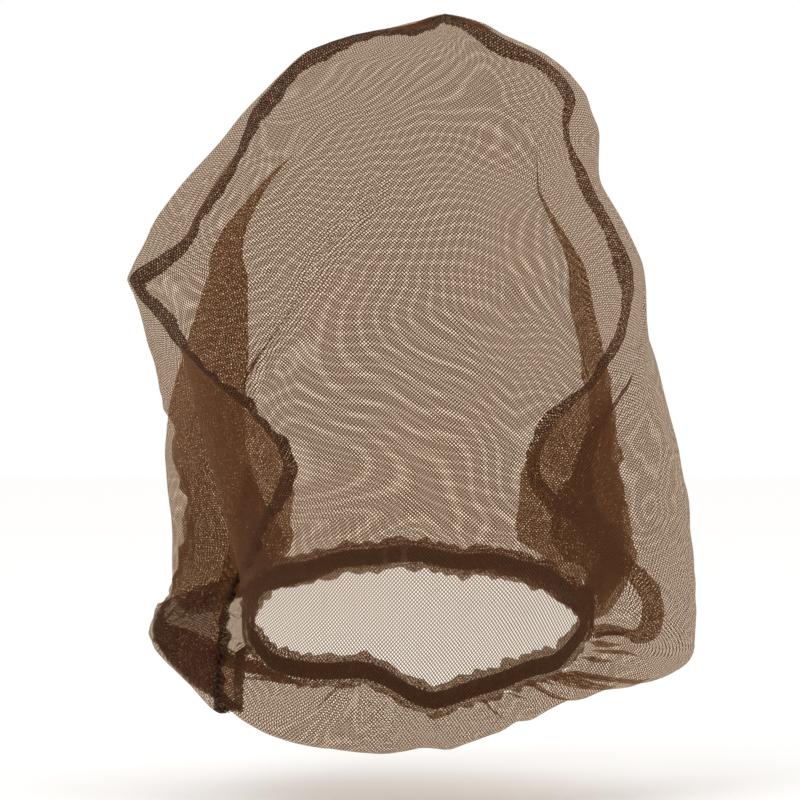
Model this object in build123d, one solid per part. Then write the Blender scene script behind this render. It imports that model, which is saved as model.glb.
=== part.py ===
from build123d import *
import math
import os

# A pull-over head net: a sack of fine mesh in two U-shaped panels, joined by one
# overlocked seam over the crown, and gathered at the neck on an elastic in a hem.
# Millimetres. The wearer faces -Y, +Z is up, and the origin is where the cloth
# rests on the crown of the head.

# Driving dimensions
NET_WALL = 1.0  # stand-in thickness of the draped net, which is 0.3 in life
SEAM_TURN = 14.0  # the seam's left end stands this many degrees towards the front
SEAM_WIDTH = 6.4  # both panel edges, turned to the inside and overlocked together
SEAM_THICK = 0.9
SEAM_INSET = 4.5  # from the net's outer face, which curves away along the seam's edges
SEAM_DROP = 2.5  # and further still under the peak
THREAD = 0.7  # overlock and hem thread, as the bead that its stitches make
GAP = 0.15  # between pieces that lie on each other
PEAK = (14.0, 3.5, 5.0)  # the gathered point of the seam on the crown

RING_RADIUS = 76.0  # inside of the gathered hem, round the neck
RING_TILT = 20.0  # the hem lies low on the chest and high on the nape
RING_HEIGHT = -271.0
CASING_DEPTH = 4.4
CASING_WIDTH = 16.0
CASING_WALL = 0.6
ELASTIC_WIDTH = 8.0
ELASTIC_THICK = 1.2
ELASTIC_LAP = 18.0  # length of the lapped and bar-tacked ends
HEM_CLEARANCE = 0.6  # round the hem, where it lifts out of the bloused net

# Level sections of the sack, top to bottom: height on the Z axis, then how far the
# cloth stands out to the left, right, front and back, and the section's tilt.
SECTIONS = (
    (-4, 26, 36, 32, 34, 0),
    (-20, 60, 60, 64, 66, 0),
    (-48, 92, 80, 94, 96, 0),
    (-85, 118, 94, 114, 110, 0),
    (-125, 132, 107, 126, 116, 3),
    (-170, 122, 113, 129, 117, 8),
    (-215, 118, 124, 132, 121, 14),
    (-250, 117, 127, 138, 127, 18),
    (-278, 121, 126, 142, 131, RING_TILT),
)
OUTLINE_POINTS = 12


def section_face(height, left, right, front, back, tilt, inset):
    """One closed section, made of four quarter ellipses and drawn in by the inset."""
    plane = Plane(
        origin=(0, 0, height),
        x_dir=(1, 0, 0),
        z_dir=(0, -math.sin(math.radians(tilt)), math.cos(math.radians(tilt))),
    )
    points = []
    for step in range(OUTLINE_POINTS):
        angle = 2 * math.pi * step / OUTLINE_POINTS
        x_reach = (right if math.cos(angle) > 0 else left) - inset
        y_reach = (back if math.sin(angle) > 0 else front) - inset
        points.append((x_reach * math.cos(angle), y_reach * math.sin(angle)))
    return plane * make_face(Spline(*points, periodic=True))


def sack(inset):
    """The whole sack as one solid, drawn in from its outer face by the inset."""
    faces = []
    for height, left, right, front, back, tilt in SECTIONS:
        drop = inset if height > SECTIONS[1][0] - 1 else 0.0
        faces.append(
            section_face(height - drop, left, right, front, back, tilt, inset)
        )
    peak = Vertex(PEAK[0], PEAK[1], PEAK[2] - 1.5 * inset)
    return loft([peak, *faces])


def ring_place():
    """The plane of the neck hem; its Z axis is the way the hem is lifted."""
    tilt = math.radians(RING_TILT)
    return Plane(
        origin=(0, 0, RING_HEIGHT),
        x_dir=(1, 0, 0),
        z_dir=(0, -math.sin(tilt), math.cos(tilt)),
    )


def ring(inner, outer, low, high):
    """A flat ring about the hem's axis, between two radii and two heights."""
    tall = high - low
    solid = Cylinder(outer, tall) - Cylinder(inner, tall + 1)
    return ring_place() * (Pos(0, 0, (low + high) / 2) * solid)


def slab(start, end):
    """The space between two distances behind the seam's plane."""
    block = Pos(0, (start + end) / 2, -150) * Box(600, end - start, 700)
    return Rot(0, 0, SEAM_TURN) * block


def floor_plane_block(above, thick):
    """A slab parallel to the hem, used to close the turned-under bottom."""
    return ring_place() * (Pos(0, 0, above - thick / 2) * Box(600, 600, thick))


# The net: an outer skin, open only at the neck
outer_sack = sack(0.0)
inner_sack = sack(NET_WALL)
bottom = SECTIONS[-1][0] - RING_HEIGHT
lower_cut = floor_plane_block(bottom * math.cos(math.radians(RING_TILT)) + NET_WALL, 40)
neck_hole = ring(0, RING_RADIUS + CASING_DEPTH + HEM_CLEARANCE, -40, 40)
skin = outer_sack - (inner_sack - lower_cut) - neck_hole

front_net_panel = skin & slab(-300, -GAP / 2)
back_net_panel = skin & slab(GAP / 2, 300)


def seam_line(inset):
    """Where the seam's plane meets the sack, from the left hem up to the peak and down."""
    turn = math.tan(math.radians(SEAM_TURN))
    left_side, right_side = [], []
    for height, left, right, front, back, tilt in SECTIONS[1:-1]:
        lean = math.radians(tilt)
        for side, x_reach, y_reach in ((-1, left, front), (1, right, back)):
            along = turn / math.cos(lean)
            x = side / math.hypot(1 / (x_reach - inset), along / (y_reach - inset))
            point = (x * math.hypot(1, turn), height + x * along * math.sin(lean))
            (left_side if side < 0 else right_side).append(point)
    top = (PEAK[0], PEAK[2] - inset - SEAM_DROP)
    return [*reversed(left_side), top, *right_side]


def seam_band(start, end, inset, thick):
    """A strip inside the net along the seam, between two distances behind its plane."""
    turn = math.radians(SEAM_TURN)
    place = Plane(
        origin=(-start * math.sin(turn), start * math.cos(turn), 0),
        x_dir=(math.cos(turn), math.sin(turn), 0),
        z_dir=(math.sin(turn), -math.cos(turn), 0),
    )
    outside = Spline(*seam_line(inset))
    inside = Spline(*seam_line(inset + thick))
    profile = make_face(
        [outside, Line(outside @ 1, inside @ 1), inside, Line(inside @ 0, outside @ 0)]
    )
    return extrude(place * profile, amount=start - end)


# The seam: both panel edges turned to the back, oversewn along their raw edge
seam_allowance = seam_band(0, SEAM_WIDTH, SEAM_INSET, SEAM_THICK)
overlock_thread = seam_band(
    SEAM_WIDTH + GAP, SEAM_WIDTH + GAP + THREAD, SEAM_INSET, SEAM_THICK
)
seam_needle_thread = seam_band(-GAP - THREAD, -GAP, SEAM_INSET, THREAD)

# The hem: a tunnel of folded net in a front and a back half, with the elastic in it
half_width = CASING_WIDTH / 2
casing_outer = RING_RADIUS + CASING_DEPTH
tunnel = ring(
    RING_RADIUS + CASING_WALL,
    casing_outer - CASING_WALL,
    -half_width + CASING_WALL,
    half_width - CASING_WALL,
)
casing = ring(RING_RADIUS, casing_outer, -half_width, half_width) - tunnel
front_hem_casing = casing & slab(-300, 0)
back_hem_casing = casing & slab(0, 300)

elastic_inner = RING_RADIUS + (CASING_DEPTH - ELASTIC_THICK) / 2
elastic_outer = elastic_inner + ELASTIC_THICK
half_elastic = ELASTIC_WIDTH / 2
lap_block = ring_place() * (
    Pos(0, elastic_inner, 0) * Box(ELASTIC_LAP, 4 * CASING_DEPTH, ELASTIC_WIDTH)
)
lap_inner = elastic_inner - ELASTIC_THICK * 0.7
lap = ring(lap_inner, elastic_inner, -half_elastic, half_elastic) & lap_block
elastic_band = ring(elastic_inner, elastic_outer, -half_elastic, half_elastic) + lap

# Two bars of close stitches through the lap, standing on the elastic's outer face
tack_skin = ring(elastic_outer, elastic_outer + 0.4, -half_elastic, half_elastic)
elastic_join_stitches = []
for side in (-1, 1):
    place = Pos(side * ELASTIC_LAP * 0.35, elastic_outer, 0)
    bar = ring_place() * (place * Box(1.4, 4, ELASTIC_WIDTH - 1.5))
    elastic_join_stitches.append(tack_skin & bar)

# The row of stitches that closes the tunnel, a bead round its upper edge
hem_stitch_thread = ring(
    RING_RADIUS + 1.2, RING_RADIUS + 1.2 + THREAD, half_width, half_width + THREAD
)

NODES = {
    "front_net_panel": front_net_panel,
    "back_net_panel": back_net_panel,
    "seam_allowance": seam_allowance,
    "overlock_thread": overlock_thread,
    "seam_needle_thread": seam_needle_thread,
    "front_hem_casing": front_hem_casing,
    "back_hem_casing": back_hem_casing,
    "elastic_band": elastic_band,
    "elastic_join_stitches": Compound(
        children=[s for bar in elastic_join_stitches for s in bar.solids()]
    ),
    "hem_stitch_thread": hem_stitch_thread,
}

for name, shape in NODES.items():
    export_step(shape, f"parts/{name}.step")
    print(name, round(shape.volume), "mm3")
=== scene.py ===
import bmesh
import bpy
import math
import numpy as np
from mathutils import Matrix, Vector, noise


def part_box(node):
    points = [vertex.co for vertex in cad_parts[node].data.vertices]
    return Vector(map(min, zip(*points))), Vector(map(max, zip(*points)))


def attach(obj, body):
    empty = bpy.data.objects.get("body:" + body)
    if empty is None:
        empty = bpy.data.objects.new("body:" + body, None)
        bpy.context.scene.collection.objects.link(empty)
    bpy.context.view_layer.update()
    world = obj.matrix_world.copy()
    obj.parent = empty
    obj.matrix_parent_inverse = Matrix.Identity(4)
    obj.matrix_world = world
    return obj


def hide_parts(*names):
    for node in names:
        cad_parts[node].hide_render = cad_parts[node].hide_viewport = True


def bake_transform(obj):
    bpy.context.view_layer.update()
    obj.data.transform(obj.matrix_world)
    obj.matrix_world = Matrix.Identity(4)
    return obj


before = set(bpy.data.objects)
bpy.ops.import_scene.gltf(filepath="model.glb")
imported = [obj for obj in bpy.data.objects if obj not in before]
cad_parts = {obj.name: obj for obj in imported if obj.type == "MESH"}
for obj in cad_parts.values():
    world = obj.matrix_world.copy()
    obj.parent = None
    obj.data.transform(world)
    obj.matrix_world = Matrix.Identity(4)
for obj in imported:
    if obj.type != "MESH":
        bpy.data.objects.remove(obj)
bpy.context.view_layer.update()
mm = 0.001


def toLinear(hexColour, alpha=1.0):
    channels = [int(hexColour[i:i + 2], 16) / 255 for i in (1, 3, 5)]
    linear = [c / 12.92 if c <= 0.04045 else ((c + 0.055) / 1.055) ** 2.4 for c in channels]
    return (*linear, alpha)


def addNode(tree, kind, settings=None, links=None):
    # settings: attributes by name, sockets by number or name; links: socket -> output
    node = tree.nodes.new(kind)
    for key, value in (settings or {}).items():
        if isinstance(key, str) and hasattr(node, key):
            setattr(node, key, value)
        else:
            node.inputs[key].default_value = value
    for key, output in (links or {}).items():
        tree.links.new(output, node.inputs[key])
    return node


def calc(tree, operation, *values):
    # a Math node's result; each value is a number or another node's output
    node = tree.nodes.new("ShaderNodeMath")
    node.operation = operation
    for socket, value in zip(node.inputs, values):
        if isinstance(value, bpy.types.NodeSocket):
            tree.links.new(value, socket)
        else:
            socket.default_value = value
    return node.outputs[0]


def emptyMaterial(name):
    material = bpy.data.materials.new(name)
    material.use_nodes = True
    material.node_tree.nodes.clear()
    return material, material.node_tree


def blurRows(grid, passes):
    # softens a grid from row to row, and leaves its first and last row alone
    for _ in range(passes):
        inner = 0.25 * grid[:-2] + 0.5 * grid[1:-1] + 0.25 * grid[2:]
        grid = np.concatenate([grid[:1], inner, grid[-1:]])
    return grid


def ease(low, high, value):
    t = np.clip((value - low) / (high - low), 0, 1)
    return t * t * (3 - 2 * t)


def bell(distance, width):
    return np.exp(-(distance / width) ** 2)


def wrapAngle(angle):
    return (angle + math.pi) % (2 * math.pi) - math.pi


def offBearing(angle, degrees):
    # how far an angle is from a compass bearing round the neck, where 270 is the front
    return wrapAngle(angle - math.radians(degrees))


def gridNormals(grid):
    # for a grid whose last column is followed by its first
    down = np.gradient(grid, axis=0)
    across = np.roll(grid, -1, 1) - np.roll(grid, 1, 1)
    normal = np.cross(across, down)
    length = np.linalg.norm(normal, axis=2, keepdims=True)
    return normal / np.maximum(length, 1e-9)


def sheetObject(name, grid, uvGrid, material):
    # a cloth grid of rows and columns as a mesh, with its flat cut as the UV map
    rows, columns = grid.shape[:2]
    bm = bmesh.new()
    uvLayer = bm.loops.layers.uv.new("flatCut")
    verts = [[bm.verts.new(grid[r, c]) for c in range(columns)] for r in range(rows)]
    for r in range(rows - 1):
        for c in range(columns - 1):
            corners = ((r, c), (r + 1, c), (r + 1, c + 1), (r, c + 1))
            face = bm.faces.new([verts[i][j] for i, j in corners])
            face.smooth = True
            for loop, (i, j) in zip(face.loops, corners):
                loop[uvLayer].uv = uvGrid[i, j]
    bmesh.ops.dissolve_degenerate(bm, dist=1e-6, edges=bm.edges)
    bmesh.ops.remove_doubles(bm, verts=bm.verts, dist=1e-6)
    mesh = bpy.data.meshes.new(name)
    bm.to_mesh(mesh)
    bm.free()
    mesh.materials.append(material)
    piece = bpy.data.objects.new(name, mesh)
    bpy.context.collection.objects.link(piece)
    return piece


def threadObject(name, runs, radius, material, sides=2):
    # sewing thread: each run is a short smooth curve with a round section
    curve = bpy.data.curves.new(name, "CURVE")
    curve.dimensions = "3D"
    curve.bevel_depth = radius
    curve.bevel_resolution = sides - 1
    curve.resolution_u = 2
    curve.use_fill_caps = True
    for run in runs:
        spline = curve.splines.new("NURBS")
        spline.points.add(len(run) - 1)
        for point, place in zip(spline.points, run):
            point.co = (*place, 1)
        spline.order_u = 3
        spline.use_endpoint_u = True
    holder = bpy.data.objects.new(name + "Curve", curve)
    bpy.context.collection.objects.link(holder)
    bpy.context.view_layer.update()
    finished = holder.evaluated_get(bpy.context.evaluated_depsgraph_get())
    mesh = bpy.data.meshes.new_from_object(finished)
    bpy.data.objects.remove(holder)
    mesh.name = name
    mesh.materials.clear()
    mesh.materials.append(material)
    for polygon in mesh.polygons:
        polygon.use_smooth = True
    piece = bpy.data.objects.new(name, mesh)
    bpy.context.collection.objects.link(piece)
    return piece


tulleLook = {
    "holePitch": 1.75,   # mm between holes across the cloth
    "rowPitch": 0.84,    # mm between rows of holes, which are staggered
    "thread": 0.34,      # mm across
    "brown": "#2B1D15",
    # the lighter brown is a painted highlight for the filaments' crowns, scaled by the dye's
    # unevenness
    "brownDyeAndHighlight": "#463126",
    "glow": "#8A6040",   # what light coming through the filaments takes on
    "fuzz": "#FFF4E6",   # the faint warm cast of loose filaments across the holes
    "dyeScale": 30,      # mm, slight unevenness of the dye
    "wander": 2.0,       # mm that the rows of holes stray from straight
    "wanderScale": 0.03,  # per mm
    "softEdge": 0.25,    # share of a thread's half width over which its edge fades
    "translucence": 0.5,  # share of the light that goes through a filament
}


def tulleMaterial(name, look, threadWidth, squeeze=1.0, paintedShadeScale=1.0):
    # polyester tulle, warp-knitted and heat-set: staggered six-sided holes, fine brown
    # threads with knots a little thicker, matt with a slight sheen
    material, tree = emptyMaterial(name)
    uv = addNode(tree, "ShaderNodeUVMap", {"uv_map": "flatCut"})
    # the flat cut is in metres; a little wander keeps the rows from being ruled lines
    place = addNode(tree, "ShaderNodeVectorMath", {"operation": "SCALE", "Scale": 1000.0},
                    {0: uv.outputs[0]})
    wander = addNode(tree, "ShaderNodeTexNoise", {"Scale": look["wanderScale"], "Detail": 0.0},
                     {"Vector": place.outputs[0]})
    centred = addNode(tree, "ShaderNodeVectorMath", {"operation": "SUBTRACT", 1: (0.5, 0.5, 0.5)},
                      {0: wander.outputs["Color"]})
    shifted = addNode(tree, "ShaderNodeVectorMath",
                      {"operation": "MULTIPLY_ADD", 1: (look["wander"], look["wander"], 0)},
                      {0: centred.outputs[0], 2: place.outputs[0]})
    axes = addNode(tree, "ShaderNodeSeparateXYZ", {}, {0: shifted.outputs[0]})
    pitch, rowPitch = look["holePitch"] * squeeze, look["rowPitch"]
    # squared distance to the nearest hole of the odd and the even rows
    squares, risers = [], []
    for offset in (0.0, 1.0):
        offsetX = calc(tree, "ADD", axes.outputs[0], offset * pitch / 2)
        offsetY = calc(tree, "ADD", axes.outputs[1], offset * rowPitch)
        nearX = calc(tree, "WRAP", offsetX, -pitch / 2, pitch / 2)
        nearY = calc(tree, "WRAP", offsetY, -rowPitch, rowPitch)
        squares.append(calc(tree, "MULTIPLY_ADD", nearY, nearY, calc(tree, "MULTIPLY", nearX, nearX)))
        risers.append(calc(tree, "SUBTRACT", rowPitch, calc(tree, "ABSOLUTE", nearY)))
    # distance to the thread between two holes of neighbouring rows
    apart = math.hypot(pitch / 2, rowPitch)
    difference = calc(tree, "ABSOLUTE", calc(tree, "SUBTRACT", *squares))
    slanted = calc(tree, "DIVIDE", difference, 2 * apart)
    # and to the short thread between a hole and the one two rows above it
    inFirst = calc(tree, "LESS_THAN", *squares)
    upright = addNode(tree, "ShaderNodeMix", {"data_type": "FLOAT"},
                      {0: inFirst, 2: risers[1], 3: risers[0]})
    nearest = calc(tree, "MINIMUM", slanted, upright.outputs[0])
    half, soft = threadWidth / 2, look["softEdge"]
    cover = addNode(tree, "ShaderNodeMapRange",
                    {"interpolation_type": "SMOOTHSTEP",
                     "From Min": half * (1 - soft), "From Max": half * (1 + soft),
                     "To Min": 1.0, "To Max": 0.0},
                    {"Value": nearest})
    crown = addNode(tree, "ShaderNodeMapRange",
                    {"From Min": 0.0, "From Max": half, "To Min": 1.0, "To Max": 0.0},
                    {"Value": nearest})
    dye = addNode(tree, "ShaderNodeTexNoise", {"Scale": 1 / look["dyeScale"], "Detail": 3.0},
                  {"Vector": place.outputs[0]})
    # every colour is scaled by the painted shade: below 1 it gives a darker, shaded copy of the same
    # tulle
    dark, light, glow = [[c * paintedShadeScale for c in toLinear(look[shade])[:3]] + [1]
                         for shade in ("brown", "brownDyeAndHighlight", "glow")]
    # painted highlight: a filament's colour is lighter along its crown, where light falls on the
    # round thread, more so where the dye noise is high
    dyeAndCrownHighlight = calc(tree, "MULTIPLY", dye.outputs[0],
                     calc(tree, "MULTIPLY", crown.outputs[0], 0.6))
    colour = addNode(tree, "ShaderNodeMix", {"data_type": "RGBA", 6: dark, 7: light}, {0: dyeAndCrownHighlight})
    bump = addNode(tree, "ShaderNodeBump", {"Strength": 0.6, "Distance": 0.1 * mm},
                   {"Height": crown.outputs[0]})
    lit = addNode(tree, "ShaderNodeBsdfPrincipled",
                  {"Roughness": 0.7, "IOR": 1.54, "Sheen Weight": 0.03, "Sheen Roughness": 0.4,
                   "Specular IOR Level": 0.12},
                  {"Base Color": colour.outputs[2], "Normal": bump.outputs[0]})
    glowing = addNode(tree, "ShaderNodeBsdfTranslucent", {"Color": glow})
    filament = addNode(tree, "ShaderNodeMixShader", {0: look["translucence"]},
                       {1: lit.outputs[0], 2: glowing.outputs[0]})
    hole = addNode(tree, "ShaderNodeBsdfTransparent", {"Color": toLinear(look["fuzz"])})
    shader = addNode(tree, "ShaderNodeMixShader", {},
                     {0: cover.outputs[0], 1: hole.outputs[0], 2: filament.outputs[0]})
    addNode(tree, "ShaderNodeOutputMaterial", {}, {0: shader.outputs[0]})
    return material


def threadMaterial(name, hexGrooveShade, hexPlyHighlight):
    # spun polyester sewing thread: twisted plies, matt and slightly hairy
    material, tree = emptyMaterial(name)
    place = addNode(tree, "ShaderNodeTexCoord")
    twist = addNode(tree, "ShaderNodeTexWave",
                    {"wave_type": "BANDS", "bands_direction": "DIAGONAL",
                     "Scale": 900.0, "Distortion": 1.5},
                    {"Vector": place.outputs["Object"]})
    # painted shade and highlight: darker in the grooves between the twisted plies, lighter on their
    # crowns, following the bump's bands
    colour = addNode(tree, "ShaderNodeMix",
                     {"data_type": "RGBA", 6: toLinear(hexGrooveShade), 7: toLinear(hexPlyHighlight)},
                     {0: twist.outputs[1]})
    bump = addNode(tree, "ShaderNodeBump", {"Strength": 0.5, "Distance": 0.1 * mm},
                   {"Height": twist.outputs[1]})
    shader = addNode(tree, "ShaderNodeBsdfPrincipled",
                     {"Roughness": 0.7, "IOR": 1.54, "Sheen Weight": 0.2, "Specular IOR Level": 0.3},
                     {"Base Color": colour.outputs[2], "Normal": bump.outputs[0]})
    addNode(tree, "ShaderNodeOutputMaterial", {}, {0: shader.outputs[0]})
    return material


def elasticMaterial(name):
    # braided elastic, polyester over rubber: close ribs along the band, dull
    material, tree = emptyMaterial(name)
    uv = addNode(tree, "ShaderNodeUVMap", {"uv_map": "flatCut"})
    ribs = addNode(tree, "ShaderNodeTexWave",
                   {"wave_type": "BANDS", "bands_direction": "Y", "Scale": 340.0, "Distortion": 0.4},
                   {"Vector": uv.outputs[0]})
    braid = addNode(tree, "ShaderNodeTexWave",
                    {"wave_type": "BANDS", "bands_direction": "DIAGONAL",
                     "Scale": 420.0, "Distortion": 0.6},
                    {"Vector": uv.outputs[0]})
    both = calc(tree, "MULTIPLY", ribs.outputs[1], braid.outputs[1])
    # painted shade and highlight: darker in the grooves of the ribs and braid, lighter on their tops,
    # following the bump's height
    colour = addNode(tree, "ShaderNodeMix",
                     {"data_type": "RGBA", 6: toLinear("#3A2B21"), 7: toLinear("#5E4838")},
                     {0: both})
    bump = addNode(tree, "ShaderNodeBump", {"Strength": 0.7, "Distance": 0.3 * mm}, {"Height": both})
    shader = addNode(tree, "ShaderNodeBsdfPrincipled",
                     {"Roughness": 0.75, "IOR": 1.5, "Sheen Weight": 0.15},
                     {"Base Color": colour.outputs[2], "Normal": bump.outputs[0]})
    addNode(tree, "ShaderNodeOutputMaterial", {}, {0: shader.outputs[0]})
    return material


tulle = tulleMaterial("polyesterTulle", tulleLook, tulleLook["thread"])
# the seam's tulle at a third and the hem's at nine tenths of the colour: painted shade of the
# gathered layers that shade each other there
seamTulle = tulleMaterial("gatheredTulleInSeamPaintedShade", tulleLook, 0.40, squeeze=0.8, paintedShadeScale=0.33)
hemTulle = tulleMaterial("foldedTulleInHemPaintedShade", tulleLook, 0.36, squeeze=0.8, paintedShadeScale=0.9)
# the thread's two colours are painted shade in the ply grooves and a painted highlight on the plies
sewingThread = threadMaterial("spunPolyesterThread", "#20160F", "#3E2D20")
elasticBraid = elasticMaterial("braidedElastic")
print("materials made")


# the sack of net: a front and a back panel, both drawn from one closed grid
elasticLow, elasticHigh = [Vector(c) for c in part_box("elastic_band")]
hemCentre = (elasticLow + elasticHigh) / 2
hemDrop = -hemCentre.z
frontBox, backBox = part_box("front_net_panel"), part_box("back_net_panel")
netLow = [min(frontBox[0][i], backBox[0][i]) for i in range(3)]
netHigh = [max(frontBox[1][i], backBox[1][i]) for i in range(3)]

net = {
    "columnsPerPanel": 256,
    "wallRows": 149,
    "returnRows": 34,
    "seamTurn": math.radians(14),
    "hemTilt": math.radians(20),
    "peakShift": (14 * mm, 3.5 * mm),  # the gathered point on the crown, off the middle
    # down from the crown as a share of the hem's drop, then how far the cloth stands out
    # as a share of the frame's reach to the left, right, front and back, and the tilt
    "stations": (
        (-0.026, 0.00, 0.00, 0.00, 0.00, 0),
        (-0.020, 0.05, 0.06, 0.06, 0.06, 0),
        (-0.004, 0.11, 0.14, 0.14, 0.14, 0),
        (0.004, 0.24, 0.18, 0.22, 0.24, 0),
        (0.013, 0.34, 0.22, 0.28, 0.30, 0),
        (0.040, 0.48, 0.37, 0.38, 0.44, 0),
        (0.072, 0.52, 0.49, 0.47, 0.54, 0),
        (0.114, 0.57, 0.60, 0.56, 0.62, 0),
        (0.175, 0.67, 0.665, 0.68, 0.74, 0),
        (0.260, 0.83, 0.665, 0.80, 0.86, 0),
        (0.325, 0.925, 0.75, 0.86, 0.90, 0),
        (0.400, 0.99, 0.83, 0.90, 0.93, 1),
        (0.440, 1.00, 0.84, 0.92, 0.94, 3),
        (0.495, 0.97, 0.84, 0.94, 0.96, 4),
        (0.580, 0.925, 0.88, 0.96, 0.97, 6),
        (0.683, 0.88, 0.94, 0.98, 0.98, 10),
        (0.768, 0.895, 0.977, 0.99, 1.00, 13),
        (0.904, 0.86, 0.99, 1.01, 1.03, 17),
        (1.000, 0.86, 0.99, 1.02, 1.05, 20),
    ),
    # deep pleats: the angle where each starts and ends, the share of the drop over which it
    # runs, its half width in radians, how far it laps over itself and how thick it lies
    "pleats": (
        (126, 146, 0.20, 1.05, 0.86, 3.3, 7 * mm),
        (52, 34, 0.14, 1.05, 0.70, 3.2, 7 * mm),
        (262, 229, 0.32, 0.68, 0.13, 1.7, 4 * mm),
        (208, 205, 0.72, 1.02, 0.80, 3.8, 7 * mm),
        (2, 0, 0.46, 1.05, 0.26, 3.0, 6 * mm),
    ),
    "dartOpening": 0.7,  # below 1, a pleat opens quickly at its point
    # the elastic draws the seams in beside the neck: by what share of the cloth's reach, over
    # which share of the drop, and how much of that is let out again above the hem
    "leftPull": (0.52, 0.40, 0.76, 0.44, 0.84, 0.97),
    "rightPull": (0.62, 0.43, 0.80, 0.30, 0.86, 1.00),
    "pullWidth": 0.36,  # radians to each side of the seam
    # the blouse's lower edge rises or hangs: bearing, half width in radians and height
    "edgeLifts": ((308, 0.42, 15 * mm), (250, 0.35, -4 * mm)),
    # the corner that stands out at the left of the chest, and how sharply it is turned under
    "cornerBearing": 197,
    "cornerReach": 16 * mm,
    "cornerHeight": 0.05,
    "kinkDown": 0.415,  # the fold that points at the kink in the left seam
    "kinkReach": 3 * mm,
    "hemSink": 14 * mm,  # how far the cloth hangs below its edge before it turns up
    "flat": (0.40, 0.42),
    "flatArea": 0.151,
}


def stationGrid(settings):
    # the outer wall's level rings, evenly spaced down the cloth
    table = np.array(settings["stations"], float)
    table[:, 0] *= -hemDrop
    reach = (-netLow[0], netHigh[0], -netLow[1], netHigh[1])
    for i in range(4):
        table[:, 1 + i] *= reach[i]
    mean = table[:, 1:5].mean(1)
    steps = np.hypot(np.diff(table[:, 0]), np.diff(mean))
    length = np.concatenate([[0], np.cumsum(steps)])
    fine = np.linspace(0, length[-1], 400)
    columns = np.stack([np.interp(fine, length, table[:, i]) for i in range(6)], 1)
    columns = blurRows(columns, 30)
    wanted = np.linspace(0, length[-1], settings["wallRows"])
    rings = np.stack([np.interp(wanted, fine, columns[:, i]) for i in range(6)], 1)
    return rings, wanted / length[-1]


def hemPoint(angle, outward=0.0, up=0.0):
    # a point near the hem's line; the line itself wanders as the gathered cloth does
    wave = 1.6 * np.sin(3 * angle + 0.6) + 1.1 * np.sin(7 * angle + 2.0) + 0.7 * np.sin(13 * angle)
    dip = -7 * bell(offBearing(angle, 276), 0.22)
    rise = 3 * bell(offBearing(angle, 247), 0.25)
    radius = 78.2 * mm + outward + 1.3 * mm * np.sin(5 * angle + 1.0)
    level = up + (wave + dip + rise) * mm
    tilt = net["hemTilt"]
    x = radius * np.cos(angle)
    v = radius * np.sin(angle)
    return np.stack([
        hemCentre.x + x,
        hemCentre.y + v * math.cos(tilt) - level * math.sin(tilt),
        hemCentre.z + v * math.sin(tilt) + level * math.cos(tilt),
    ], -1)


def pullDepth(settings, down):
    # how far a seam is drawn in, down the cloth
    depth, first, last, letOut, outFirst, outLast = settings
    return depth * ease(first, last, down) - letOut * ease(outFirst, outLast, down)


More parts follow.
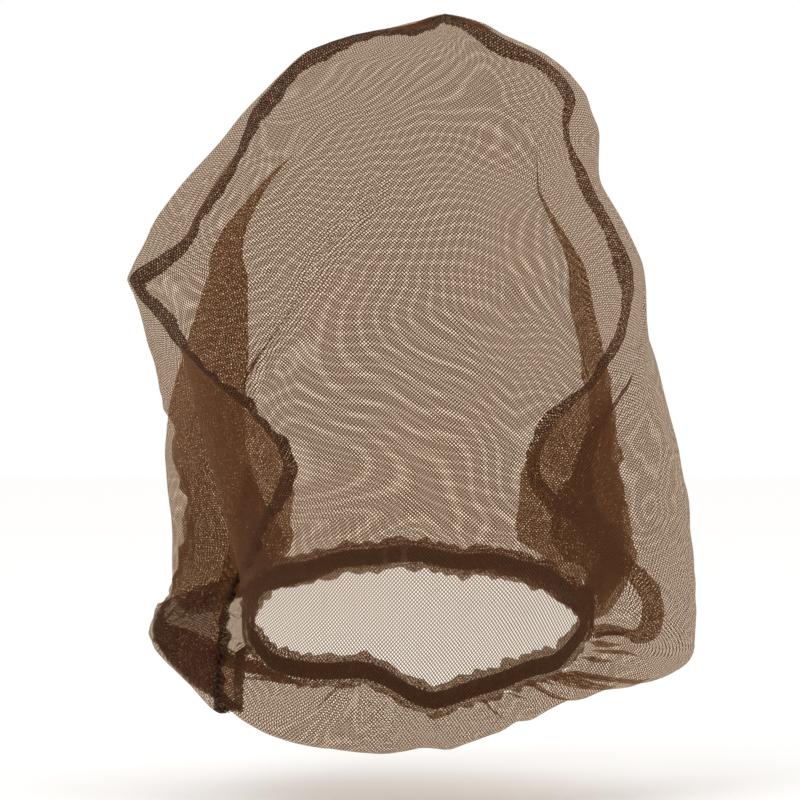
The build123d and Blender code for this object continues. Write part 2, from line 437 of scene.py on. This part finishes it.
def makeSack(settings):
    around = 2 * settings["columnsPerPanel"]
    rings, share = stationGrid(settings)
    angle = settings["seamTurn"] + 2 * math.pi * np.arange(around) / around
    z, left, right, front, back, tilt = [rings[:, i:i + 1] for i in range(6)]
    tilt = np.radians(tilt)
    down = -z / hemDrop
    # a pleat laps the cloth back over itself: three layers between its two folds
    turned = np.repeat(angle[None, :], len(rings), 0)
    proud = np.zeros_like(turned)
    for startAngle, endAngle, first, last, width, lap, thick in settings["pleats"]:
        t = np.clip((down - first) / (last - first), 0, 1) ** settings["dartOpening"]
        middle = np.radians(startAngle + (endAngle - startAngle) * t)
        middle = middle + 0.07 * t * np.sin(9 * down + startAngle)
        # it begins as a crease and widens steadily, like a dart, down to the edge or to its end
        strength = ease(first - 0.10, first + 0.02, down)
        if last < 1:
            strength = strength * (1 - ease(last - 0.2, last, down))
        spread = width * (0.45 + 0.55 * t)
        s = wrapAngle(angle[None, :] - middle) / spread
        turned = turned - spread * s * (1 + (lap - 1) * t) * strength * bell(s, 0.5)
        settled = strength * (0.3 + 0.7 * t) * (1 - 0.75 * ease(0.85, 1.0, down))
        proud = proud - thick * settled * np.tanh(3 * s) * bell(s, 1.1)
    cosine, sine = np.cos(turned), np.sin(turned)
    xReach = np.where(cosine > 0, right, left) + proud
    yReach = np.where(sine > 0, back, front) + proud

    # beside the neck the elastic draws both seams in, and the panels stand out round them
    fromRight = wrapAngle(turned - settings["seamTurn"])
    fromLeft = wrapAngle(turned - settings["seamTurn"] - math.pi)
    leftDepth = pullDepth(settings["leftPull"], down)
    leftDepth += 0.20 * ease(0.06, 0.25, down) * (1 - ease(0.345, 0.43, down))
    rightDepth = pullDepth(settings["rightPull"], down) + 0.17 * bell(down - 0.18, 0.055)
    rightWidth = settings["pullWidth"] - 0.08 * ease(0.80, 0.96, down)
    pull = 1 - leftDepth * bell(fromLeft, settings["pullWidth"])
    pull -= rightDepth * bell(fromRight, rightWidth)
    x = xReach * cosine * pull
    v = yReach * sine * pull
    # however it folds, the cloth still reaches as far out as its ring does
    toRight = blurRows(right / np.maximum(x.max(1, keepdims=True), mm), 4)
    toLeft = blurRows(left / np.maximum(-x.min(1, keepdims=True), mm), 4)
    x = x * np.where(x > 0, toRight, toLeft)
    toPeak = 1 - ease(0.0, 0.16, down)
    x = x + toPeak * settings["peakShift"][0]
    v = v + toPeak * settings["peakShift"][1]
    # the blouse hangs lower in its lobes than at the seams
    atSeams = 5 * mm * bell(fromLeft, 0.34) + 1 * mm * bell(fromRight, 0.34)
    inFront = sum(height * bell(offBearing(turned, bearing), width)
                  for bearing, width, height in settings["edgeLifts"])
    lift = ease(0.80, 1.0, down) * atSeams + ease(0.70, 1.0, down) * inFront
    # a fold pushed out at the kink, and a corner at the lower edge
    kink = bell(down - settings["kinkDown"], 0.045) * bell(fromLeft - 0.05, 0.5)
    corner = bell(offBearing(turned, settings["cornerBearing"]), 0.30)
    corner = corner * bell(down - 1.0, settings["cornerHeight"])
    x = x - settings["kinkReach"] * kink - settings["cornerReach"] * corner
    wall = np.stack([x, v * np.cos(tilt), z + v * np.sin(tilt) + lift], 2)

    # turned under at the bottom and drawn in to the hem
    rows = settings["returnRows"]
    q = (np.arange(1, rows + 1) / rows)[:, None, None]
    edge = wall[-1][None]
    # folded layers stay together under the edge and part only as they reach the hem
    sorting = ease(0.25, 1.0, q[:, :, 0])
    hem = hemPoint(turned[-1][None] * (1 - sorting) + angle[None] * sorting,
                   outward=2.0 * mm, up=-6 * mm)
    # the cloth sinks a little before it turns up, but is turned sharply at the corner
    sharp = bell(offBearing(turned[-1], settings["cornerBearing"]), 0.35)[None, :, None]
    straightDown = np.array([0, 0, -1.0])
    lower = edge + (settings["hemSink"] - 11 * mm * sharp) * straightDown
    inward = edge + 0.45 * (hem - edge) + (9 - 5 * sharp) * mm * straightDown
    under = ((1 - q) ** 3 * edge + 3 * (1 - q) ** 2 * q * lower
             + 3 * (1 - q) * q ** 2 * inward + q ** 3 * hem)
    grid = np.concatenate([wall, under])
    share = np.concatenate([share, 1 + np.arange(1, rows + 1) / rows])
    return grid, share, angle


def foldField(grid, share, angle):
    # how far each point moves along its normal: gathers, soft folds, creases
    rows, columns = grid.shape[:2]
    field = np.zeros((rows, columns))
    s = share[:, None]
    a = angle[None, :]
    # small tucks where the crown seam is drawn to its point
    field += 1.1 * mm * (np.sin(14 * a) + 0.6 * np.sin(9 * a + 1)) * bell(s - 0.055, 0.035)
    # gathers at the hem: narrow, and they fade up the turned-under cloth
    warp = a + 0.035 * np.sin(5 * a) + 0.02 * np.sin(11 * a + 1) + 0.012 * np.sin(23 * a + 2)
    gather = np.sin(66 * warp) + 0.5 * np.sin(41 * warp + 1.3)
    field += 2.6 * mm * gather * ease(1.30, 2.0, s) ** 1.3
    middle = np.sin(31 * warp + 0.7) + 0.6 * np.sin(19 * warp + 2.1)
    field += 1.6 * mm * middle * ease(1.15, 1.55, s) * (1 - ease(1.75, 2.0, s))
    wide = np.sin(11 * warp + 0.4) + 0.7 * np.sin(6 * warp + 1.9)
    field += 1.1 * mm * wide * ease(0.55, 0.85, s) * (1 - ease(0.9, 1.05, s))
    # crumpled where the elastic draws the seams in beside the neck
    fromRight = wrapAngle(a - net["seamTurn"])
    fromLeft = wrapAngle(a - net["seamTurn"] - math.pi)
    beside = bell(fromRight - 0.2, 0.46) + bell(fromLeft + 0.2, 0.36)
    atSeam = bell(fromRight, 0.07) + bell(fromLeft, 0.07)
    crumple = beside * (1 - 0.65 * atSeam) * ease(0.60, 0.78, s) * (1 - ease(0.94, 1.15, s))
    # long soft folds with sharp ridges, from the noise of the cloth's own place
    for r in range(rows):
        for c in range(columns):
            x, y, z = grid[r, c]
            point = Vector((x * 16, y * 16, z * 6.5))
            ridge = 1 - abs(noise.noise(point + Vector((3.1, 0, 7)))) * 2.2
            fine = noise.noise(Vector((x * 60, y * 60, z * 38)))
            amount = 2.6 * ridge + 0.5 * fine
            calm = min(1.0, max(0.0, (share[r] - 0.12) * 2.2))
            calm *= 1 - 0.7 * bell(share[r] - 1.03, 0.12)
            field[r, c] += amount * mm * calm
            if crumple[r, c] > 0.05:
                crease = 1 - 3.0 * abs(noise.noise(Vector((x * 62, y * 62, z * 54 + 11))))
                finer = 1 - 3.0 * abs(noise.noise(Vector((x * 130, y * 130, z * 110 + 5))))
                field[r, c] += (4.2 * crease + 1.2 * finer) * mm * crumple[r, c]
    return field * (1 - 0.75 * ease(1.9, 2.0, s))


smoothSack, sackShare, sackAngle = makeSack(net)
folds = foldField(smoothSack, sackShare, sackAngle)
sack = smoothSack + gridNormals(smoothSack) * folds[:, :, None]
print("sack shaped", sack.shape)


def flatCut(grid):
    # a sheet's own coordinates, in metres, measured along its rows and columns
    across = np.linalg.norm(np.diff(grid, axis=1), axis=2)
    along = np.linalg.norm(np.diff(grid, axis=0), axis=2)
    u = np.concatenate([np.zeros((grid.shape[0], 1)), np.cumsum(across, 1)], 1)
    v = np.concatenate([np.zeros((1, grid.shape[1])), np.cumsum(along, 0)], 0)
    return np.stack([u, -v], 2)


def resample(values, rows, columns):
    # values on a coarse grid, drawn out to more rows and columns
    r = np.linspace(0, values.shape[0] - 1, rows)
    c = np.linspace(0, values.shape[1] - 1, columns)
    i = np.minimum(r.astype(int), values.shape[0] - 2)
    j = np.minimum(c.astype(int), values.shape[1] - 2)
    fr, fc = (r - i)[:, None, None], (c - j)[None, :, None]
    upper = values[i][:, j] * (1 - fc) + values[i][:, j + 1] * fc
    lower = values[i + 1][:, j] * (1 - fc) + values[i + 1][:, j + 1] * fc
    return upper * (1 - fr) + lower * fr


relaxation = {
    "step": 4,        # rows and columns of the cloth to one cell of the coarse grid
    "rounds": 1200,
    "stiffness": 0.16,
    "smoothing": 0.1,
}


def layFlat(smooth, crumpled, share):
    # the panel laid out flat: its wall is let settle in the plane until its threads have the
    # lengths they have on the wearer, and the turned-under cloth runs on from its lower edge
    walls = net["wallRows"]
    low = ease(0.55, 0.8, share[:walls])[:, None]
    across = np.linalg.norm(np.diff(smooth[:walls], axis=1), axis=2) * (1 - low)
    across = across + np.linalg.norm(np.diff(crumpled[:walls], axis=1), axis=2) * low
    along = np.linalg.norm(np.diff(smooth[:walls], axis=0), axis=2)
    step = relaxation["step"]
    ring = np.stack([across[::step, k::step] for k in range(step)]).sum(0)
    drop = np.stack([along[k::step, ::step] for k in range(step)]).sum(0)
    # it starts as a U: fanned out from the middle of the crown seam, then straight down
    fallen = np.concatenate([[0], np.cumsum(drop.mean(1))])[:, None]
    fan = np.linspace(-math.pi / 2, math.pi / 2, ring.shape[1] + 1)[None, :]
    straight = ease(0.15, 0.6, fallen / fallen[-1])
    halfWide = ring.sum(1)[:, None] / 2
    flat = np.stack([halfWide * (np.sin(fan) * (1 - straight) + fan / (math.pi / 2) * straight),
                     -fallen * (np.cos(fan) * (1 - straight) + straight)], 2)
    slant = np.hypot((ring[1:] + ring[:-1]) / 2, (drop[:, 1:] + drop[:, :-1]) / 2)
    rests = ((0, 1, ring), (1, 0, drop), (1, 1, slant), (1, -1, slant))
    for _ in range(relaxation["rounds"]):
        push = np.zeros_like(flat)
        for dr, dc, rest in rests:
            if dc >= 0:
                first = (slice(None, -dr or None), slice(None, -dc or None))
                second = (slice(dr, None), slice(dc, None))
            else:
                first = (slice(None, -1), slice(1, None))
                second = (slice(1, None), slice(None, -1))
            gap = flat[second] - flat[first]
            length = np.linalg.norm(gap, axis=2)
            pull = gap * ((length - rest) / np.maximum(length, 1e-6))[..., None]
            push[first] += pull
            push[second] -= pull
        flat = flat + push * relaxation["stiffness"]
        around = (flat[:-2, 1:-1] + flat[2:, 1:-1] + flat[1:-1, :-2] + flat[1:-1, 2:]) / 4
        flat[1:-1, 1:-1] += relaxation["smoothing"] * (around - flat[1:-1, 1:-1])
    flat[..., 0] -= flat[..., 0].mean()
    flat = resample(flat, walls, smooth.shape[1])
    rows = smooth.shape[0] - walls
    fall = np.linalg.norm(np.diff(smooth[walls - 1:], axis=0), axis=2).mean(1)
    under = np.repeat(flat[-1][None], rows, 0)
    under[..., 1] -= np.cumsum(fall)[:, None]
    return np.concatenate([flat, under])


half = net["columnsPerPanel"]
closedSack = np.concatenate([sack, sack[:, :1]], 1)
closedSmooth = np.concatenate([smoothSack, smoothSack[:, :1]], 1)
frontCut = layFlat(closedSmooth[:, half:], closedSack[:, half:], sackShare)
backCut = layFlat(closedSmooth[:, :half + 1], closedSack[:, :half + 1], sackShare)
print("panels laid flat", np.ptp(frontCut[..., 0]).round(3), np.ptp(frontCut[..., 1]).round(3))
frontPanel = sheetObject("frontPanel", closedSack[:, half:], frontCut, tulle)
backPanel = sheetObject("backPanel", closedSack[:, :half + 1], backCut, tulle)


def acrossLift(piece):
    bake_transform(piece)


for piece, node in ((frontPanel, "front_net_panel"), (backPanel, "back_net_panel")):
    acrossLift(piece)
    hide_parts(node)
print("panels made")


# the seam that joins the two panels over the crown and down both sides
seam = {
    "width": 5.4 * mm,
    "stitchPitch": 3.0 * mm,
    "loopRadius": 0.19 * mm,
    "pucker": 1.3 * mm,
    "rowsAcross": 7,
}


def seamLine():
    # from the right hem up over the crown and down to the left hem, at an even pitch,
    # with the direction into the sack at each point
    rightSide = sack[:, 0][::-1]
    leftSide = sack[:, half]
    line = np.concatenate([rightSide, leftSide[1:]])
    inner = np.zeros_like(line)
    for i, point in enumerate(line):
        inner[i] = np.array([0, 0.012, max(point[2], -0.25) - 0.035]) - point
    tangent = np.gradient(line, axis=0)
    tangent /= np.maximum(np.linalg.norm(tangent, axis=1, keepdims=True), 1e-9)
    inner -= (inner * tangent).sum(1, keepdims=True) * tangent
    inner /= np.linalg.norm(inner, axis=1, keepdims=True)
    length = np.concatenate([[0], np.cumsum(np.linalg.norm(np.diff(line, axis=0), axis=1))])
    even = np.arange(0, length[-1], 0.9 * mm)
    points = np.stack([np.interp(even, length, line[:, i]) for i in range(3)], 1)
    ways = np.stack([np.interp(even, length, inner[:, i]) for i in range(3)], 1)
    for _ in range(6):
        ways[1:-1] = 0.25 * ways[:-2] + 0.5 * ways[1:-1] + 0.25 * ways[2:]
    ways /= np.linalg.norm(ways, axis=1, keepdims=True)
    return even, points, ways


seamDistance, seamPoints, seamWays = seamLine()
seamTangent = np.gradient(seamPoints, axis=0)
seamTangent /= np.linalg.norm(seamTangent, axis=1, keepdims=True)
seamSide = np.cross(seamTangent, seamWays)


def seamSpot(distance, across, lifted):
    # a point on the turned seam: how far along, how far in from the seam, how far proud
    i = np.clip(np.searchsorted(seamDistance, distance), 0, len(seamDistance) - 1)
    wave = np.sin(distance / (1.7 * mm)) + 0.8 * np.sin(distance / (4.3 * mm) + 1)
    pucker = seam["pucker"] * wave * (0.25 + 0.75 * across / seam["width"])
    narrowing = 1 + 0.3 * np.sin(distance / (19 * mm)) + 0.2 * np.sin(distance / (7 * mm) + 2)
    return seamPoints[i] + seamWays[i] * across * narrowing + seamSide[i] * (pucker + lifted)


def makeSeam(settings):
    edges = []
    for lifted in (-0.25 * mm, 0.25 * mm):
        grid = np.zeros((settings["rowsAcross"], len(seamDistance), 3))
        uv = np.zeros((settings["rowsAcross"], len(seamDistance), 2))
        for r in range(settings["rowsAcross"]):
            across = settings["width"] * r / (settings["rowsAcross"] - 1)
            for c, distance in enumerate(seamDistance):
                grid[r, c] = seamSpot(distance, across, lifted)
                uv[r, c] = (distance, across + lifted * 3)
        edges.append(sheetObject("seamEdge", grid, uv, seamTulle))
    first, second = edges
    bm = bmesh.new()
    bm.from_mesh(first.data)
    bm.from_mesh(second.data)
    bm.to_mesh(first.data)
    bm.free()
    bpy.data.objects.remove(second)
    first.name = "seamAllowance"
    return first


def overlockRuns(settings):
    # looper threads: over the raw edge and back under it, one loop to each stitch
    runs = []
    width = settings["width"]
    pitch = settings["stitchPitch"]
    for i in range(int((seamDistance[-1] - 4 * mm) / pitch)):
        d = 2 * mm + i * pitch
        proud = 0.75 * mm
        runs.append([
            seamSpot(d, 0.8 * mm, proud),
            seamSpot(d + 0.35 * pitch, 0.55 * width, proud),
            seamSpot(d + 0.45 * pitch, width + 0.3 * mm, proud * 0.6),
            seamSpot(d + 0.60 * pitch, width + 0.3 * mm, -proud * 0.6),
            seamSpot(d + 0.75 * pitch, 0.55 * width, -proud),
            seamSpot(d + pitch, 0.8 * mm, -proud),
        ])
    return runs


def needleRuns(settings):
    # straight stitches beside the seam, lying on the turned edges
    runs = []
    pitch = settings["stitchPitch"]
    for i in range(int((seamDistance[-1] - 4 * mm) / pitch)):
        d = 2 * mm + i * pitch
        runs.append([
            seamSpot(d, 0.5 * mm, 0.1 * mm),
            seamSpot(d + 0.2 * pitch, 0.5 * mm, 0.6 * mm),
            seamSpot(d + 0.7 * pitch, 0.5 * mm, 0.6 * mm),
            seamSpot(d + 0.9 * pitch, 0.5 * mm, 0.1 * mm),
        ])
    return runs


seamAllowance = makeSeam(seam)
overlock = threadObject("overlockLoops", overlockRuns(seam), seam["loopRadius"], sewingThread)
needleRow = threadObject("seamNeedleStitches", needleRuns(seam), seam["loopRadius"] * 0.9,
                         sewingThread)
for piece, node, slotName in ((seamAllowance, "seam_allowance", "seam_net"),
                              (overlock, "overlock_thread", "thread"),
                              (needleRow, "seam_needle_thread", "thread")):
    acrossLift(piece)
    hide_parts(node)


# the hem: a folded tunnel with the elastic inside
hem = {
    "columns": 704,
    "section": 22,
    "halfDepth": 2.3 * mm,
    "halfWidth": 8.0 * mm,
    "pleats": 58,
    "pleatDepth": 1.3 * mm,
    "elasticHalf": 4.0 * mm,
    "stitches": 150,
}


def pleatWave(angle):
    warp = angle + 0.03 * np.sin(5 * angle) + 0.014 * np.sin(17 * angle + 1)
    return np.sin(hem["pleats"] * warp) + 0.45 * np.sin(53 * warp + 1.1)


def casingGrid(settings):
    # the folded tunnel, as rows round its section and columns round the neck
    angle = net["seamTurn"] + 2 * math.pi * np.arange(settings["columns"] + 1) / settings["columns"]
    rows = []
    for i in range(settings["section"] + 1):
        turn = 2 * math.pi * i / settings["section"] + math.pi / 2
        outward = settings["halfDepth"] * np.sign(math.cos(turn)) * abs(math.cos(turn)) ** 0.8
        up = settings["halfWidth"] * math.sin(turn)
        pleat = settings["pleatDepth"] * pleatWave(angle) * (0.45 + 0.55 * abs(math.sin(turn)))
        ruffle = (0.7 * np.sin(37 * angle + 2) + 0.8 * np.sin(23 * angle)) * mm
        ruffle *= abs(math.sin(turn)) ** 3
        rows.append(hemPoint(angle, outward + pleat, up + ruffle))
    return np.stack(rows)


casing = casingGrid(hem)
halfColumns = hem["columns"] // 2
backHalf, frontHalf = casing[:, :halfColumns + 1], casing[:, halfColumns:]
backCasing = sheetObject("backHemCasing", backHalf, flatCut(backHalf), hemTulle)
frontCasing = sheetObject("frontHemCasing", frontHalf, flatCut(frontHalf), hemTulle)


def makeElastic(settings):
    # a flat loop whose ends lap by 14 degrees at the nape
    angle = 2 * math.pi * np.arange(361) / 360 + math.pi / 2
    spread = 14 / 360 * 2 * math.pi
    lapped = np.concatenate([angle, angle[-1] + np.linspace(0, spread, 15)[1:]])
    rows = []
    overlap = ease(angle[-1] - 0.05, angle[-1] + 0.05, lapped) * 1.1 * mm
    sections = ((-0.5, -1), (-0.5, 1), (0.5, 1), (0.5, -1), (-0.5, -1))
    for thick, wide in sections:
        rows.append(hemPoint(lapped, thick * mm - overlap, wide * settings["elasticHalf"]))
    grid = np.stack(rows)
    return sheetObject("elasticBand", grid, flatCut(grid), elasticBraid)


elastic = makeElastic(hem)


def tackRuns():
    # two close zigzag bars through the elastic's lapped ends
    runs = []
    for centre in (0.05, 0.19):
        for i in range(12):
            up = (-3.0 + 0.5 * i) * mm
            a = np.array([math.pi / 2 + centre - 0.012, math.pi / 2 + centre + 0.012])
            ends = hemPoint(a, 0.75 * mm, up)
            runs.append([ends[0], (ends[0] + ends[1]) / 2 + 0.05 * mm, ends[1]])
    return runs


def hemStitchRuns(settings):
    # one row of stitches along the tunnel's upper edge
    runs = []
    count = settings["stitches"]
    for i in range(count):
        a = 2 * math.pi * (i + np.array([0.05, 0.25, 0.65, 0.85])) / count
        outward = settings["halfDepth"] + settings["pleatDepth"] * pleatWave(a) * 0.6
        lifted = np.array([0.1, 0.55, 0.55, 0.1]) * mm
        runs.append(list(hemPoint(a, outward + lifted, settings["halfWidth"] * 0.62)))
    return runs


tackBars = threadObject("elasticBarTacks", tackRuns(), 0.22 * mm, sewingThread)
hemStitches = threadObject("hemStitches", hemStitchRuns(hem), 0.24 * mm, sewingThread)
for piece, node, slotName in ((frontCasing, "front_hem_casing", "hem_net"),
                              (backCasing, "back_hem_casing", "hem_net"),
                              (elastic, "elastic_band", "elastic"),
                              (tackBars, "elastic_join_stitches", "thread"),
                              (hemStitches, "hem_stitch_thread", "thread")):
    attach(piece, "neck_hem")
    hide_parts(node)
print("hem made")


# floor, light and camera
studio = {
    "floorDrop": 24 * mm,
    "floorSize": 8.0,
    "cameraDistance": 2.0,
    "cameraAim": (-7 * mm, -171 * mm),
    "frameWidth": 0.359,   # metres across the picture at the front of the face
    "frontPlane": 0.05,
    "floorColour": "#FEFDFC",
    "lampAim": (0, 0, -0.16),
    # name, place, size in metres and power in watts
    "lamps": (
        ("key", (-1.0, -1.5, 0.9), 1.2, 14),
        ("fill", (1.4, -1.1, 0.3), 1.4, 6),
    ),
}


def makeStudio(settings):
    floorMesh = bmesh.new()
    bmesh.ops.create_grid(floorMesh, x_segments=1, y_segments=1, size=settings["floorSize"])
    bmesh.ops.translate(floorMesh, verts=floorMesh.verts,
                        vec=(0, 0, netLow[2] - settings["floorDrop"]))
    mesh = bpy.data.meshes.new("floor")
    floorMesh.to_mesh(mesh)
    floorMesh.free()
    floor = bpy.data.objects.new("floor", mesh)
    bpy.context.collection.objects.link(floor)
    paint = bpy.data.materials.new("paleFloor")
    paint.use_nodes = True
    surface = paint.node_tree.nodes["Principled BSDF"]
    surface.inputs["Base Color"].default_value = toLinear(settings["floorColour"])
    surface.inputs["Roughness"].default_value = 0.9
    mesh.materials.append(paint)

    world = bpy.data.worlds.new("studio")
    bpy.context.scene.world = world
    world.use_nodes = True
    background = world.node_tree.nodes["Background"]
    background.inputs["Color"].default_value = (1, 1, 1, 1)
    background.inputs["Strength"].default_value = 1.0
    for name, place, size, power in settings["lamps"]:
        lamp = bpy.data.lights.new(name, "AREA")
        lamp.size = size
        lamp.energy = power
        light = bpy.data.objects.new(name, lamp)
        bpy.context.collection.objects.link(light)
        light.location = place
        aim = Vector(settings["lampAim"]) - light.location
        light.rotation_euler = aim.to_track_quat("-Z", "Y").to_euler()

    camera = bpy.data.cameras.new("camera")
    holder = bpy.data.objects.new("camera", camera)
    bpy.context.collection.objects.link(holder)
    x, z = settings["cameraAim"]
    holder.location = (x, -settings["cameraDistance"], z)
    holder.rotation_euler = (math.radians(90), 0, 0)
    toFront = settings["cameraDistance"] - settings["frontPlane"]
    camera.lens = camera.sensor_width * toFront / settings["frameWidth"]
    bpy.context.scene.camera = holder
    scene = bpy.context.scene
    scene.view_settings.view_transform = "Standard"
    scene.cycles.transparent_max_bounces = 64


makeStudio(studio)
print("studio ready")
